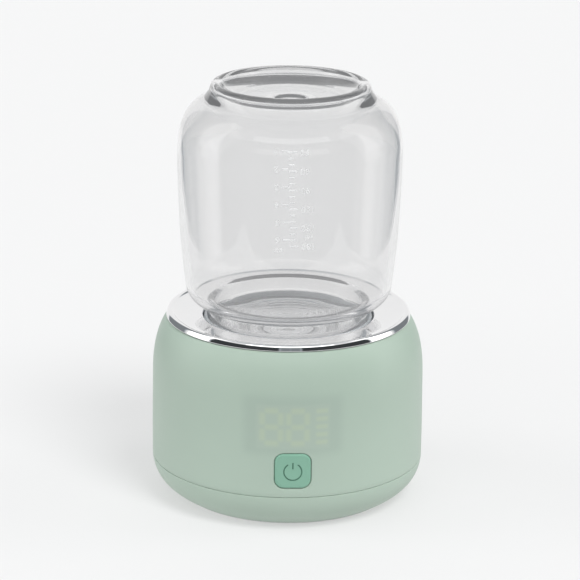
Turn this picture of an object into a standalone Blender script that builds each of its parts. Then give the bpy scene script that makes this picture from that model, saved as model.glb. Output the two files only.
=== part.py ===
"""Portable bottle warmer with a glass feeding bottle standing upside down in its neck well.

Frame: origin at the centre of the foot's underside, +Z up, front (power button) towards -Y.
Lengths below are millimetres; the helpers turn them into metres.
"""
import math

import bmesh
import bpy
from mathutils import Matrix, Vector

MM = 0.001
GAP = 0.3

# Housing and base
BODY_RADIUS = 48.0
SEAM_HEIGHT = 13.4
HOUSING_TOP = 64.2
HOUSING_TOP_RADIUS = 42.8
HOUSING_WALL = 2.2
BASE_BOTTOM = 0.8
BASE_FLOOR = 3.2
FOOT_INNER = 30.5
FOOT_OUTER = 38.0
FOOT_HEIGHT = 1.6

# Chrome top plate
PLATE_SHEET = 0.9
RIM_RADIUS = 43.0
RIM_TOP = 66.6
LIP_RADIUS = 30.0
LIP_TOP = 65.0
COLLAR_BOTTOM = 57.0

# Neck well, heating plate and seals
WELL_FLOOR = 51.5
WELL_INNER = 31.3
WELL_WALL = 1.5
WELL_FLANGE_TOP = 61.7
WELL_FLANGE_RADIUS = 40.6
PEDESTAL_RADIUS = 23.0
PEDESTAL_BORE = 21.4
PEDESTAL_TOP = 61.0
HOT_PLATE_RADIUS = 24.2
HOT_PLATE_TOP = 63.0
HOT_PLATE_SHEET = 0.8

# Glass bottle, standing on its mouth
MOUTH_HEIGHT = 54.3
NECK_BORE = 25.4
NECK_RADIUS = 26.9
THREAD_RADIUS = 28.0
COLLAR_RADIUS = 28.2
SHOULDER_HEIGHT = 69.0
SHOULDER_ARC = 8.0
GLASS = 2.2
BOTTLE_RADIUS = 39.1
BOTTLE_TOP = 148.0
HEEL_RADIUS = 25.8

# Power button and its switch
BUTTON_HEIGHT = 23.3
BUTTON_WIDTH = 12.5
BUTTON_TALL = 12.5
BUTTON_DEPTH = 8.0
FLANGE_WIDTH = 15.4
FLANGE_TALL = 14.6
BUTTON_CORNER = 3.0
BUTTON_PROUD = 0.3
FLANGE_FRONT = -43.9
STEM_END = -42.3
PLUNGER_REST_GAP = 0.4
PLUNGER_RADIUS = 1.7
SWITCH_FACE = -40.9

# Display behind the shell
DISPLAY_HEIGHT = 39.1
DISPLAY_WIDTH = 25.6
DISPLAY_TALL = 16.0
DISPLAY_DEPTH = 2.4
DISPLAY_BOARD_FRONT = -38.6
BOARD_THICKNESS = 1.6

# Charging inlet at the back
INLET_HEIGHT = 23.5
INLET_MOUTH = 47.0

# Battery and main board
CELL_RADIUS = 9.2
CELL_LENGTH = 65.0
CELL_SPACING = 19.2
CELL_HEIGHT = 15.5
MAIN_BOARD_BOTTOM = 32.0

COVER_SCREW_RADIUS = 33.1
COVER_SCREW_ANGLES = (51, 129, 231, 309)
WELL_SCREW_RADIUS = 37.3
WELL_SCREW_ANGLES = (30, 150, 270)

for leftover in list(bpy.data.objects):
    bpy.data.objects.remove(leftover)

PARTS = bpy.data.collections.new("bottle_warmer")
CUTTERS = bpy.data.collections.new("cutters")
bpy.context.scene.collection.children.link(PARTS)
bpy.context.scene.collection.children.link(CUTTERS)


def finish(name, colour, roughness, metallic=0.0, transmission=0.0):
    material = bpy.data.materials.new(name)
    material.use_nodes = True
    shader = material.node_tree.nodes["Principled BSDF"]
    shader.inputs["Base Color"].default_value = (*colour, 1.0)
    shader.inputs["Roughness"].default_value = roughness
    shader.inputs["Metallic"].default_value = metallic
    shader.inputs["Transmission Weight"].default_value = transmission
    return material


MINT = finish("mint_plastic", (0.42, 0.53, 0.44), 0.5)
MINT_BUTTON = finish("mint_button", (0.24, 0.45, 0.33), 0.4)
CHROME = finish("chrome", (0.80, 0.80, 0.80), 0.06, 1.0)
STEEL = finish("spun_steel", (0.62, 0.62, 0.60), 0.25, 1.0)
GLASS_CLEAR = finish("clear_glass", (0.95, 0.97, 0.97), 0.03, 0.0, 1.0)
SILICONE = finish("milky_silicone", (0.70, 0.76, 0.78), 0.45)
WHITE_RUBBER = finish("white_rubber", (0.82, 0.84, 0.82), 0.7)
WELL_PLASTIC = finish("well_plastic", (0.80, 0.80, 0.78), 0.45)
FRAME_PLASTIC = finish("frame_plastic", (0.06, 0.06, 0.06), 0.5)
CERAMIC = finish("heater_ceramic", (0.75, 0.72, 0.66), 0.6)
INSULATION = finish("insulation", (0.50, 0.44, 0.32), 0.9)
BOARD = finish("circuit_board", (0.02, 0.16, 0.06), 0.4)
CHIP = finish("chip_black", (0.02, 0.02, 0.02), 0.45)
CELL_WRAP = finish("cell_wrap", (0.05, 0.20, 0.45), 0.35)
NICKEL = finish("nickel", (0.66, 0.62, 0.56), 0.3, 1.0)
RED_LEAD = finish("red_lead", (0.50, 0.02, 0.02), 0.5)
BLACK_LEAD = finish("black_lead", (0.02, 0.02, 0.02), 0.5)
DIFFUSER = finish("diffuser", (0.78, 0.80, 0.76), 0.6)


def link(obj, material, cutter=False):
    if cutter:
        CUTTERS.objects.link(obj)
        obj.hide_render = True
        obj.display_type = "WIRE"
    else:
        PARTS.objects.link(obj)
        obj.data.materials.append(material)
    return obj


def curve_points(start, pull_a, pull_b, end, count):
    """Points along one cubic Bezier from start to end, both included."""
    points = []
    for i in range(count + 1):
        t = i / count
        s = 1 - t
        weights = (s ** 3, 3 * s * s * t, 3 * s * t * t, t ** 3)
        corners = (start, pull_a, pull_b, end)
        r = sum(w * c[0] for w, c in zip(weights, corners))
        z = sum(w * c[1] for w, c in zip(weights, corners))
        points.append((r, z))
    return points


def arc_points(centre, radius, start, end, count):
    """Points along a round arc in the (r, z) plane, angles in degrees from +r towards +z."""
    points = []
    for i in range(count + 1):
        angle = math.radians(start + (end - start) * i / count)
        points.append((centre[0] + radius * math.cos(angle), centre[1] + radius * math.sin(angle)))
    return points


def turned(name, outline, material, steps=40, sheet=0.0):
    """Turn an outline of (r, z) points round Z, as a solid or as a sheet of the given thickness."""
    points = [(r * MM, 0.0, z * MM) for r, z in outline]
    edges = [(i, i + 1) for i in range(len(points) - 1)]
    if outline[0][0] > 0 and not sheet:
        edges.append((len(points) - 1, 0))
    mesh = bpy.data.meshes.new(name)
    mesh.from_pydata(points, edges, [])
    obj = link(bpy.data.objects.new(name, mesh), material)
    screw = obj.modifiers.new("turn", "SCREW")
    screw.steps = steps
    screw.render_steps = steps
    screw.use_merge_vertices = True
    screw.merge_threshold = 0.00001
    screw.use_smooth_shade = True
    if sheet:
        wall = obj.modifiers.new("wall", "SOLIDIFY")
        wall.thickness = sheet * MM
        wall.offset = -1
        wall.use_even_offset = True
    return obj


def block(name, size, centre, material=None, corner=0.0, corner_axis=1, segments=4, cutter=False):
    """A box; its four edges along corner_axis can be rounded."""
    shape = bmesh.new()
    bmesh.ops.create_cube(shape, size=1.0)
    bmesh.ops.scale(shape, vec=Vector(size) * MM, verts=shape.verts)
    if corner:
        along = [e for e in shape.edges
                 if abs((e.verts[0].co - e.verts[1].co)[corner_axis]) > 0.9 * size[corner_axis] * MM]
        bmesh.ops.bevel(shape, geom=along, offset=corner * MM, segments=segments,
                        profile=0.5, affect="EDGES")
    mesh = bpy.data.meshes.new(name)
    shape.to_mesh(mesh)
    shape.free()
    obj = bpy.data.objects.new(name, mesh)
    obj.location = Vector(centre) * MM
    return link(obj, material, cutter)


TURNS = {
    "X": Matrix.Rotation(math.radians(90), 3, "Y"),
    "Y": Matrix.Rotation(math.radians(-90), 3, "X"),
    "Z": Matrix.Identity(3),
}


def rod(name, radius, length, centre, material=None, axis="Z", segments=20, cutter=False, top_radius=None):
    """A cylinder or cone about its centre, lying along one axis."""
    shape = bmesh.new()
    end_radius = radius if top_radius is None else top_radius
    bmesh.ops.create_cone(shape, cap_ends=True, segments=segments, radius1=radius * MM,
                          radius2=end_radius * MM, depth=length * MM)
    bmesh.ops.rotate(shape, cent=(0, 0, 0), matrix=TURNS[axis], verts=shape.verts)
    mesh = bpy.data.meshes.new(name)
    shape.to_mesh(mesh)
    shape.free()
    mesh.shade_smooth()
    mesh.set_sharp_from_angle(angle=math.radians(40))
    obj = bpy.data.objects.new(name, mesh)
    obj.location = Vector(centre) * MM
    return link(obj, material, cutter)


def lead(name, points, radius, material):
    """A round insulated wire along straight runs between its points."""
    data = bpy.data.curves.new(name, "CURVE")
    data.dimensions = "3D"
    data.bevel_depth = radius * MM
    data.bevel_resolution = 1
    data.use_fill_caps = True
    spline = data.splines.new("POLY")
    spline.points.add(len(points) - 1)
    for point, place in zip(spline.points, points):
        point.co = (*(Vector(place) * MM), 1.0)
    return link(bpy.data.objects.new(name, data), material)


def combine(target, tool, operation):
    modifier = target.modifiers.new(tool.name, "BOOLEAN")
    modifier.operation = operation
    modifier.solver = "EXACT"
    modifier.object = tool
    return target


def cut(target, tool):
    return combine(target, tool, "DIFFERENCE")


def join(target, tool):
    return combine(target, tool, "UNION")


def around(radius, angle, height):
    turn = math.radians(angle)
    return (radius * math.cos(turn), radius * math.sin(turn), height)


# ---------------------------------------------------------------- casing

def make_housing():
    bottom = SEAM_HEIGHT + GAP
    outline = [(37.4, HOUSING_TOP)]
    waist = BODY_RADIUS - 0.2
    outline += curve_points((HOUSING_TOP_RADIUS, HOUSING_TOP), (BODY_RADIUS - 1.5, 59.0), (waist, 52.0),
                            (waist, 44.0), 5)
    outline += [(BODY_RADIUS, 28.0), (BODY_RADIUS, bottom)]
    shell = turned("housing_shell", outline, MINT, sheet=HOUSING_WALL)
    for number, angle in enumerate(COVER_SCREW_ANGLES):
        post_height = 15.0
        post_bottom = 8.7
        rib = block(f"post_rib_{number}", (12.5, 1.6, 8.0), around(40.2, angle, 19.4), cutter=True)
        rib.rotation_euler.z = math.radians(angle)
        join(shell, rib)
        post = rod(f"screw_post_{number}", 3.0, post_height,
                   around(COVER_SCREW_RADIUS, angle, post_bottom + post_height / 2), segments=16, cutter=True)
        join(shell, post)
        pilot = rod(f"post_bore_{number}", 1.7, 9.0,
                    around(COVER_SCREW_RADIUS, angle, post_bottom + 4.0), segments=12, cutter=True)
        cut(shell, pilot)
    for side in (-1, 1):
        join(shell, block(f"display_rib_{side}", (1.5, 7.4, 26.0), (side * 19.5, -38.4, 34.0), cutter=True))
    for number, angle in enumerate(WELL_SCREW_ANGLES):
        cut(shell, rod(f"flange_hole_{number}", 1.7, 6.0, around(WELL_SCREW_RADIUS + 1.2, angle, 63.0),
                       segments=12, cutter=True))
    hole = (BUTTON_WIDTH + 2 * GAP, 12.0, BUTTON_TALL + 2 * GAP)
    cut(shell, block("button_hole", hole, (0, -BODY_RADIUS, BUTTON_HEIGHT), corner=BUTTON_CORNER + GAP,
                     cutter=True))
    cut(shell, block("inlet_slot", (9.8, 12.0, 4.2), (0, BODY_RADIUS, INLET_HEIGHT), corner=1.9, cutter=True))
    return shell


def make_base_cover():
    groove_top = FOOT_HEIGHT + GAP
    outline = [(0, BASE_FLOOR)]
    inner_radius = BODY_RADIUS - HOUSING_WALL
    outline += curve_points((34.5, BASE_FLOOR), (41.0, 5.2), (inner_radius - 0.2, 8.0),
                            (inner_radius, SEAM_HEIGHT), 4)
    outline += curve_points((BODY_RADIUS, SEAM_HEIGHT), (BODY_RADIUS - 0.4, 6.5), (43.5, 3.6),
                            (FOOT_OUTER + 0.8, BASE_BOTTOM), 6)
    outline += [(FOOT_OUTER + GAP, groove_top), (FOOT_INNER - GAP, groove_top)]
    outline += [(FOOT_INNER - GAP, BASE_BOTTOM), (0, BASE_BOTTOM)]
    cover = turned("base_cover", outline, MINT)
    for number, angle in enumerate(COVER_SCREW_ANGLES):
        join(cover, rod(f"cover_pillar_{number}", 4.2, 6.0, around(COVER_SCREW_RADIUS, angle, 5.4),
                        segments=16, cutter=True))
        cut(cover, rod(f"head_recess_{number}", 2.9, 4.4, around(COVER_SCREW_RADIUS, angle, 3.0),
                       segments=16, cutter=True))
        cut(cover, rod(f"cover_hole_{number}", 1.7, 9.0, around(COVER_SCREW_RADIUS, angle, 6.0),
                       segments=12, cutter=True))
    return cover


def make_foot_ring():
    outline = [(FOOT_OUTER, FOOT_HEIGHT), (FOOT_OUTER, 0.0), (FOOT_INNER, 0.0), (FOOT_INNER, FOOT_HEIGHT)]
    return turned("foot_ring", outline, WHITE_RUBBER)


def make_top_plate():
    outline = [(LIP_RADIUS, COLLAR_BOTTOM)]
    outline += arc_points((LIP_RADIUS + 1.4, LIP_TOP - 1.4), 1.4, 180, 90, 3)
    outline += [(37.0, LIP_TOP + 0.3), (41.2, RIM_TOP - 0.1), (RIM_RADIUS - 0.6, RIM_TOP)]
    outline += [(RIM_RADIUS, RIM_TOP - 0.5), (RIM_RADIUS - 0.1, HOUSING_TOP + GAP)]
    return turned("top_plate", outline, CHROME, sheet=PLATE_SHEET)


# ---------------------------------------------------------------- neck well and heater

def make_neck_well():
    outer = WELL_INNER + WELL_WALL
    floor_bottom = WELL_FLOOR - WELL_WALL
    outline = [
        (WELL_FLANGE_RADIUS, WELL_FLANGE_TOP),
        (WELL_FLANGE_RADIUS, WELL_FLANGE_TOP - WELL_WALL),
        (outer, WELL_FLANGE_TOP - WELL_WALL),
        (outer, floor_bottom),
        (PEDESTAL_BORE, floor_bottom),
        (PEDESTAL_BORE, PEDESTAL_TOP),
        (PEDESTAL_RADIUS, PEDESTAL_TOP),
        (PEDESTAL_RADIUS, 55.2),
        (24.8, 55.2),
        (24.8, WELL_FLOOR),
        (WELL_INNER, WELL_FLOOR),
        (WELL_INNER, WELL_FLANGE_TOP),
    ]
    well = turned("neck_well", outline, WELL_PLASTIC, steps=36)
    for number, angle in enumerate(WELL_SCREW_ANGLES):
        cut(well, rod(f"well_hole_{number}", 1.7, 5.0, around(WELL_SCREW_RADIUS + 1.2, angle, 61.0),
                      segments=12, cutter=True))
    return well


def make_seals():
    gasket_top = MOUTH_HEIGHT - GAP
    gasket = [(31.0, gasket_top), (31.0, WELL_FLOOR + GAP), (25.2, WELL_FLOOR + GAP), (25.2, gasket_top)]
    turned("neck_gasket", gasket, SILICONE, steps=36)
    seal = [(24.7, 56.7), (24.7, 55.5), (23.3, 55.5), (23.3, 56.7)]
    turned("plate_seal", seal, SILICONE, steps=36)
    sleeve_top = 62.6
    sleeve = [
        (29.3, sleeve_top),
        (29.6, sleeve_top - 0.6),
        (29.6, MOUTH_HEIGHT),
        (THREAD_RADIUS + 0.5, MOUTH_HEIGHT),
        (THREAD_RADIUS + 0.5, sleeve_top - 0.6),
        (THREAD_RADIUS + 0.8, sleeve_top),
    ]
    turned("adapter_ring", sleeve, SILICONE, steps=36)


def make_heater():
    edge = 1.0
    pan = [(0, HOT_PLATE_TOP)]
    pan += arc_points((HOT_PLATE_RADIUS - edge, HOT_PLATE_TOP - edge), edge, 90, 0, 3)
    pan += [(HOT_PLATE_RADIUS, 57.0)]
    turned("heating_plate", pan, STEEL, steps=36, sheet=HOT_PLATE_SHEET)
    heater_top = HOT_PLATE_TOP - HOT_PLATE_SHEET - GAP
    rod("heater_disc", 20.8, 1.6, (0, 0, heater_top - 0.8), CERAMIC, segments=32)
    lead_hole = 6.0
    pad_top = heater_top - 1.6 - GAP
    pad = [(20.8, pad_top), (20.8, pad_top - 2.2), (lead_hole, pad_top - 2.2), (lead_hole, pad_top)]
    turned("insulation_pad", pad, INSULATION, steps=32)
    clamp_top = pad_top - 2.2 - GAP
    clamp = [(21.0, clamp_top), (21.0, clamp_top - 1.2), (lead_hole, clamp_top - 1.2), (lead_hole, clamp_top)]
    turned("heater_clamp", clamp, NICKEL, steps=32)
    rod("temperature_sensor", 1.3, 3.0, (0, 0, pad_top - 1.5), CHIP, segments=12)
    rod("thermal_fuse", 1.6, 9.0, (0, 12.0, clamp_top - 1.2 - GAP - 1.6), CERAMIC, axis="X", segments=12)
    for side, name in ((-1, "heater_lead_left"), (1, "heater_lead_right")):
        start = side * 3.6
        path = [
            (start, 0, pad_top - 0.1),
            (start, 0, 50.0),
            (start + 1.5, 2.0, 46.0),
            (15 + side * 1.6, 9.0, 42.0),
            (18 + side * 1.6, 11.0, 39.5),
        ]
        lead(name, path, 0.8, INSULATION)


# ---------------------------------------------------------------- battery

def make_battery():
    tray = block("battery_tray", (70.4, 28.0, 5.4), (0, 0, 8.2), FRAME_PLASTIC)
    join(tray, block("tray_foot", (56.0, 24.0, 4.0), (0, 0, BASE_FLOOR + GAP + 2.0), cutter=True))
    for number, side in enumerate((-1, 1), 1):
        place = (0, side * CELL_SPACING / 2, CELL_HEIGHT)
        cut(tray, rod(f"cell_groove_{number}", CELL_RADIUS + GAP, CELL_LENGTH + 1.8, place, axis="X",
                      segments=28, cutter=True))
        rod(f"battery_cell_{number}", CELL_RADIUS, CELL_LENGTH, place, CELL_WRAP, axis="X", segments=28)
    strip_x = CELL_LENGTH / 2 + GAP + 0.15
    for side, name in ((-1, "nickel_strip_left"), (1, "nickel_strip_right")):
        block(name, (0.3, 26.0, 6.0), (side * strip_x, 0, CELL_HEIGHT), NICKEL)
    bridge_bottom = CELL_HEIGHT + CELL_RADIUS + GAP
    bridge = block("battery_bridge", (70.4, 34.0, 1.5), (0, 0, bridge_bottom + 0.75), FRAME_PLASTIC)
    for side in (-1, 1):
        leg_bottom = 11.2
        leg_height = bridge_bottom + 0.8 - leg_bottom
        join(bridge, block(f"bridge_leg_{side}", (1.2, 18.0, leg_height),
                           (side * 34.4, 0, leg_bottom + leg_height / 2), cutter=True))
        for end in (-1, 1):
            standoff = MAIN_BOARD_BOTTOM - GAP - bridge_bottom - 0.5
            join(bridge, rod(f"standoff_{side}_{end}", 2.2, standoff,
                             (side * 25.0, end * 13.0, bridge_bottom + 0.5 + standoff / 2),
                             segments=12, cutter=True))


# ---------------------------------------------------------------- electronics

def make_main_board():
    top = MAIN_BOARD_BOTTOM + BOARD_THICKNESS
    block("main_board", (58.0, 40.0, BOARD_THICKNESS), (0, 0, MAIN_BOARD_BOTTOM + BOARD_THICKNESS / 2), BOARD,
          corner=2.0, corner_axis=2, segments=2)
    seat = top + GAP
    block("controller_chip", (10.0, 10.0, 1.4), (-6.0, -6.0, seat + 0.7), CHIP)
    block("power_inductor", (12.0, 12.0, 6.0), (-19.0, 8.0, seat + 3.0), CHIP, corner=2.0, corner_axis=2,
          segments=2)
    rod("capacitor_1", 3.1, 8.0, (-19.0, -8.0, seat + 4.0), NICKEL, segments=16)
    rod("capacitor_2", 3.1, 8.0, (-11.5, -15.4, seat + 4.0), NICKEL, segments=16)
    block("lead_connector", (10.0, 6.0, 4.6), (18.0, 11.0, seat + 2.3), DIFFUSER)
    rod("buzzer", 4.5, 4.0, (15.0, -9.0, seat + 2.0), CHIP, segments=20)
    for side, name, material in ((-1, "battery_lead_black", BLACK_LEAD), (1, "battery_lead_red", RED_LEAD)):
        strip_face = side * (CELL_LENGTH / 2 + 2 * GAP + 0.9)
        path = [
            (strip_face, 9.9, CELL_HEIGHT),
            (side * 37.4, 12.0, 20.0),
            (side * 37.4, 12.0, 30.0),
            (side * 34.0, 9.0, 34.4),
            (side * 27.0, 4.0, seat + 0.8),
        ]
        lead(name, path, 0.8, material)


def make_display():
    board_y = DISPLAY_BOARD_FRONT + BOARD_THICKNESS / 2
    block("display_board", (36.4, BOARD_THICKNESS, 33.0), (0, board_y, 31.6), BOARD)
    module_front = DISPLAY_BOARD_FRONT - GAP - DISPLAY_DEPTH
    block("display_module", (DISPLAY_WIDTH, DISPLAY_DEPTH, DISPLAY_TALL),
          (0, module_front + DISPLAY_DEPTH / 2, DISPLAY_HEIGHT), CHIP)
    sheet = 0.5
    block("display_diffuser", (DISPLAY_WIDTH, sheet, DISPLAY_TALL),
          (0, module_front - GAP - sheet / 2, DISPLAY_HEIGHT), DIFFUSER)
    start = board_y + BOARD_THICKNESS / 2 + GAP
    end = -20.0 - GAP
    samples = 8
    upper = []
    for i in range(samples + 1):
        share = i / samples
        upper.append((start + (end - start) * share, 32.9 + 3.0 * math.sin(math.pi * share)))
    lower = [(y, z - 0.5) for y, z in reversed(upper)]
    data = bpy.data.curves.new("display_ribbon", "CURVE")
    data.dimensions = "2D"
    data.fill_mode = "BOTH"
    data.extrude = 6.0 * MM
    spline = data.splines.new("POLY")
    spline.points.add(len(upper) + len(lower) - 1)
    spline.use_cyclic_u = True
    for point, (y, z) in zip(spline.points, upper + lower):
        point.co = (y * MM, z * MM, 0.0, 1.0)
    ribbon = link(bpy.data.objects.new("display_ribbon", data), DIFFUSER)
    ribbon.rotation_euler = (math.radians(90), 0, math.radians(90))


def make_button():
    place = (0, FLANGE_FRONT + 0.7 - BUTTON_DEPTH / 2, BUTTON_HEIGHT)
    button = block("power_button", (BUTTON_WIDTH, BUTTON_DEPTH, BUTTON_TALL), place, MINT_BUTTON,
                   corner=BUTTON_CORNER)
    face = rod("button_face", BODY_RADIUS + BUTTON_PROUD, 40.0, (0, 0, BUTTON_HEIGHT), segments=160,
               cutter=True)
    combine(button, face, "INTERSECT")
    join(button, block("button_flange", (FLANGE_WIDTH, 1.0, FLANGE_TALL),
                       (0, FLANGE_FRONT + 0.5, BUTTON_HEIGHT), cutter=True))
    stem_length = STEM_END - FLANGE_FRONT
    join(button, rod("button_stem", 1.5, stem_length, (0, STEM_END - stem_length / 2, BUTTON_HEIGHT),
                     axis="Y", segments=12, cutter=True))


def make_switch():
    depth = DISPLAY_BOARD_FRONT - GAP - SWITCH_FACE
    switch = block("switch_body", (6.2, depth, 6.2), (0, SWITCH_FACE + depth / 2, BUTTON_HEIGHT), CHIP)
    cut(switch, rod("plunger_bore", PLUNGER_RADIUS + 0.4, 2.6, (0, SWITCH_FACE, BUTTON_HEIGHT), axis="Y",
                    segments=16, cutter=True))
    length = 1.7
    rod("switch_plunger", PLUNGER_RADIUS, length,
        (0, STEM_END + PLUNGER_REST_GAP + length / 2, BUTTON_HEIGHT), DIFFUSER, axis="Y", segments=16)


def make_inlet():
    board_top = 21.6
    shell_bottom = board_top + GAP
    tall = 3.2
    back = 38.6
    centre_z = shell_bottom + tall / 2
    block("charge_board", (17.0, 11.5, BOARD_THICKNESS), (0, 36.8, board_top - BOARD_THICKNESS / 2), BOARD)
    length = INLET_MOUTH - back
    socket = block("usb_receptacle", (8.9, length, tall), (0, back + length / 2, centre_z), NICKEL,
                   corner=1.5, segments=3)
    cut(socket, block("usb_mouth", (8.3, length, 2.6), (0, back + length / 2 + 0.8, centre_z),
                      corner=1.2, segments=3, cutter=True))
    block("usb_tongue", (6.6, 4.6, 0.7), (0, 43.4 - GAP, centre_z), CHIP)
    block("port_bracket", (15.0, 5.0, 14.3), (0, 34.6, 12.55), FRAME_PLASTIC)


# ---------------------------------------------------------------- fasteners

def make_screw(name, radius, angle, head_bottom, head_radius, shaft_length):
    """A pan-head screw standing head down."""
    x, y, _ = around(radius, angle, 0)
    head_height = 1.5
    head = rod(name, head_radius, head_height, (x, y, head_bottom + head_height / 2), NICKEL, segments=16)
    shaft = rod(f"{name}_shaft", 1.35, shaft_length + 0.4,
                (x, y, head_bottom + head_height - 0.4 + (shaft_length + 0.4) / 2), segments=12, cutter=True)
    join(head, shaft)
    slot = block(f"{name}_slot", (2 * head_radius - 1.4, 0.6, 1.2), (x, y, head_bottom), cutter=True)
    cut(head, slot)


def make_screws():
    for number, angle in enumerate(COVER_SCREW_ANGLES, 1):
        make_screw(f"cover_screw_{number}", COVER_SCREW_RADIUS, angle, 3.4, 2.5, 7.6)
    for number, angle in enumerate(WELL_SCREW_ANGLES, 1):
        make_screw(f"well_screw_{number}", WELL_SCREW_RADIUS + 1.2, angle, 58.4, 2.3, 3.6)


# ---------------------------------------------------------------- bottle

def make_bottle():
    arc_centre = (COLLAR_RADIUS + 0.2, SHOULDER_HEIGHT + SHOULDER_ARC)
    outer = [(0, BOTTLE_TOP - 7.0), (5.2, BOTTLE_TOP - 6.8)]
    outer += [(7.0, BOTTLE_TOP - 5.7), (18.4, BOTTLE_TOP - 4.9)]
    outer += arc_points((HEEL_RADIUS, BOTTLE_TOP - 2.0), 2.0, 160, 20, 4)
    outer += curve_points((28.6, 144.3), (35.8, 140.8), (BOTTLE_RADIUS, 134.0), (BOTTLE_RADIUS, 124.0), 5)
    outer += [(BOTTLE_RADIUS - 0.7, 100.0)]
    outer += arc_points(arc_centre, SHOULDER_ARC, 0, -90, 4)
    outer += [(COLLAR_RADIUS, 65.6), (NECK_RADIUS, 65.0)]
    for crest in (61.6, 58.0):
        outer += [(NECK_RADIUS, crest + 0.9), (THREAD_RADIUS, crest), (NECK_RADIUS, crest - 0.9)]
    outer += [(NECK_RADIUS, MOUTH_HEIGHT)]
    inner = [(NECK_BORE, MOUTH_HEIGHT), (NECK_BORE, SHOULDER_HEIGHT)]
    inner += arc_points(arc_centre, SHOULDER_ARC - GLASS, -90, 0, 3)
    inner += [(BOTTLE_RADIUS - 0.7 - GLASS, 100.0)]
    inner += curve_points((BOTTLE_RADIUS - GLASS, 124.0), (BOTTLE_RADIUS - GLASS, 132.0), (34.0, 138.4),
                          (27.0, 142.0), 4)
    inner += [(20.0, 141.0), (0, BOTTLE_TOP - 9.6)]
    turned("glass_bottle", outer + inner, GLASS_CLEAR, steps=36)


make_housing()
make_base_cover()
make_foot_ring()
make_top_plate()
make_neck_well()
make_seals()
make_heater()
make_battery()
make_main_board()
make_display()
make_button()
make_switch()
make_inlet()
make_screws()
make_bottle()
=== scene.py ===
"""Looks of a portable bottle warmer with a glass feeding bottle standing upside down in its neck well.

Shapes are worked out in millimetres and become metres through MM; outlines are (radius, height) pairs.
The frame is the CAD's: +Z up, front towards -Y.
"""

import math

import bmesh
import bpy
from mathutils import Matrix, Vector


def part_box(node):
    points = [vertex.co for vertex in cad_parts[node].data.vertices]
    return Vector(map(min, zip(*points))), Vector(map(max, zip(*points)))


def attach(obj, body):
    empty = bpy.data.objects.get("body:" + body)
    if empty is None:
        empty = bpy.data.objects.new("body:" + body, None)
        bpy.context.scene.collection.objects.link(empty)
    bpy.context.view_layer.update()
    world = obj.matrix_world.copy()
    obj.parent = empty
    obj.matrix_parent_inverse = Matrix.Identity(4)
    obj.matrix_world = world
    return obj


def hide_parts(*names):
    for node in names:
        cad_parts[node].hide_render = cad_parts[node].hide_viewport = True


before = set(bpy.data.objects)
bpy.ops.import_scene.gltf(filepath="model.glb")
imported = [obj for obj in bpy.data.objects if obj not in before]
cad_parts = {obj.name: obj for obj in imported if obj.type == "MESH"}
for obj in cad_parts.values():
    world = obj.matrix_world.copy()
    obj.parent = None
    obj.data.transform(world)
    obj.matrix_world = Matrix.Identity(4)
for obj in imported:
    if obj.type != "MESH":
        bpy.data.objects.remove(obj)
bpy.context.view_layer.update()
MM = 0.001


# ---------------------------------------------------------------- sizes read from the frame

def middle_height(node):
    low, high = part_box(node)
    return (low.z + high.z) / 2 / MM


def radius_of(node):
    low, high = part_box(node)
    return (high.x - low.x) / 2 / MM


def bottom_of(node):
    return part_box(node)[0].z / MM


def top_of(node):
    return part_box(node)[1].z / MM


BODY_R = radius_of("housing_shell")
HOUSING_TOP = top_of("housing_shell")
HOUSING_TOP_R = 42.8
HOUSING_BORE = 37.4
WAIST_Z = 44.0
WALL = 2.2
SEAM = 0.06
SEAM_OVER_COVER = 0.15
COVER_TOP = top_of("base_cover") + SEAM_OVER_COVER - SEAM
HOUSING_BOTTOM = COVER_TOP + 2 * SEAM
COVER_BOTTOM = bottom_of("base_cover")
FOOT_R = radius_of("foot_ring")
FOOT_TOP = top_of("foot_ring")
FOOT_INNER = 30.5
BUTTON_WIDTH = 12.5
BUTTON_TALL = 12.5
BUTTON_CORNER = 3.2
INLET_WIDTH = 9.5
INLET_TALL = 3.8
INLET_CORNER = 1.85
RIM_R = radius_of("top_plate")
RIM_TOP = top_of("top_plate")
LIP_R = 30.0
LIP_TOP = 65.0
PLATE_COLLAR_BOTTOM = bottom_of("top_plate")
PLATE_TOP = top_of("heating_plate")
PLATE_R = radius_of("heating_plate")
MOUTH_Z = bottom_of("glass_bottle")
BOTTLE_TOP = top_of("glass_bottle")
BOTTLE_R = radius_of("glass_bottle")
NECK_BORE = 25.4
NECK_R = 26.9
THREAD_R = 28.0
THREAD_CRESTS = (61.6, 58.0)
COLLAR_R = 28.2
SHOULDER_Z = 69.0
SHOULDER_ARC = 8.0
GLASS = 2.2
WALL_TOP_Z = 124.0
HEEL_R = 25.8
HEEL_ROUND = 2.0


# ---------------------------------------------------------------- node helpers

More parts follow.
